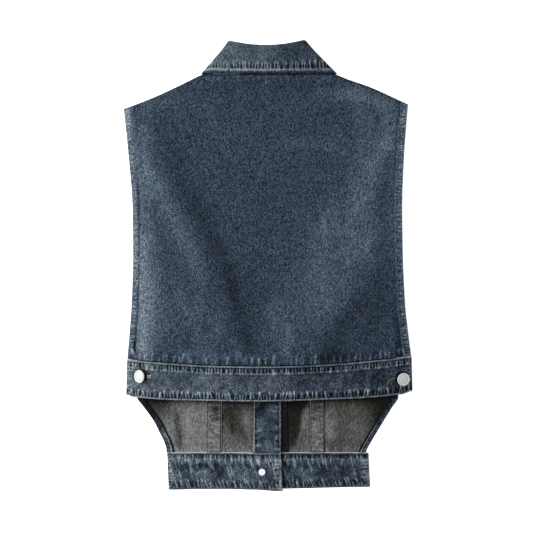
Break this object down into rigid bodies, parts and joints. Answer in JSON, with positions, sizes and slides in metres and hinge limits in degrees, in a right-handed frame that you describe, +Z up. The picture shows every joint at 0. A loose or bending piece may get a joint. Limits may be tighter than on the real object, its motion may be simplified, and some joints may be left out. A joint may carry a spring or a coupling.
{
  "type": "denim vest",
  "caption": "Cropped sleeveless washed-denim vest with fold-over collar and open sides buttoned to the back waistband, laid face down.",
  "frame": {"origin": "on the table, at the centre of the laid-out vest's outline", "axes": "+Z up from the table through the fronts to the back, +Y along the body towards the collar, +X across it to the right of someone looking down at the back"},
  "size_m": [0.376, 0.585, 0.0172],
  "materials": {
    "washed_denim": "washed blue twill, right side",
    "denim_wrong_side": "grey twill, wrong side",
    "button_metal": "silver plated, satin",
    "white_tack": "white lacquer, satin"
  },
  "bodies": {
    "root": {"back_panel": "washed_denim", "back_armhole_hem_left": "washed_denim", "back_armhole_hem_right": "washed_denim", "back_waistband": "washed_denim", "front_left_side": "denim_wrong_side", "front_left_centre": "denim_wrong_side", "front_left_felled_seam": "denim_wrong_side", "front_left_side_hem": "washed_denim", "front_left_armhole_hem": "washed_denim", "front_left_placket": "washed_denim", "front_right_side": "denim_wrong_side", "front_right_centre": "denim_wrong_side", "front_right_felled_seam": "denim_wrong_side", "front_right_side_hem": "washed_denim", "front_right_armhole_hem": "washed_denim", "front_right_placket": "washed_denim", "front_waistband_left": "washed_denim", "front_waistband_right": "washed_denim", "side_tab_left": "washed_denim", "side_tab_right": "washed_denim", "collar": "washed_denim", "undercollar": "washed_denim", "button_left": "button_metal", "button_right": "button_metal", "front_button": "button_metal", "tack_left": "button_metal", "tack_right": "button_metal", "front_tack": "white_tack"}
  },
  "joints": []
}
